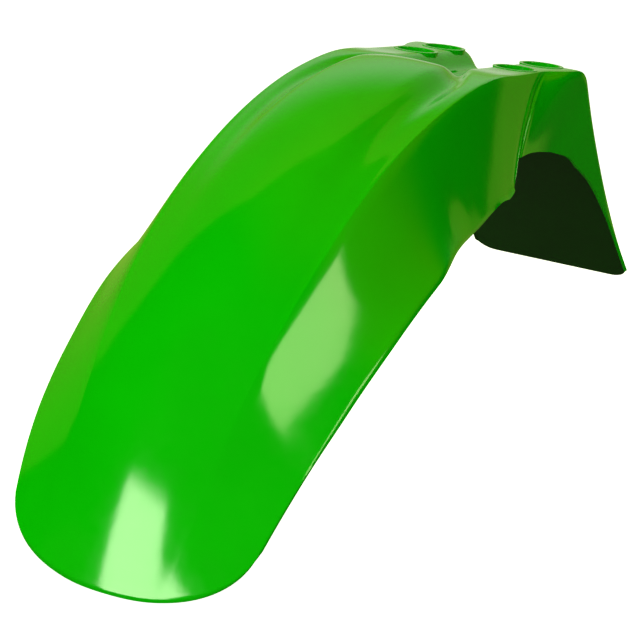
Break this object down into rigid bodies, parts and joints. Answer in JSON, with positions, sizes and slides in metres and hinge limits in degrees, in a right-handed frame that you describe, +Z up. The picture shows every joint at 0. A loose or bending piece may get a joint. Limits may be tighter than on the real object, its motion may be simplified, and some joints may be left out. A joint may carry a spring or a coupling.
{
  "type": "motorcycle front mudguard",
  "caption": "High-mounted off-road motorcycle front mudguard with a domed arch, two ridges, flared wings, cupped bolt pads and a drooping tail.",
  "frame": {"origin": "centre of the four clamp bolts, level with the floors of their cups", "axes": "+Z up along the bolts, away from the wheel; -Y forward to the nose, +Y back to the tail; X across, and the part is the same on both sides"},
  "size_m": [0.232, 0.6442, 0.3386],
  "materials": {
    "green_plastic": "gloss"
  },
  "bodies": {
    "root": {"mudguard": "green_plastic"}
  },
  "joints": []
}
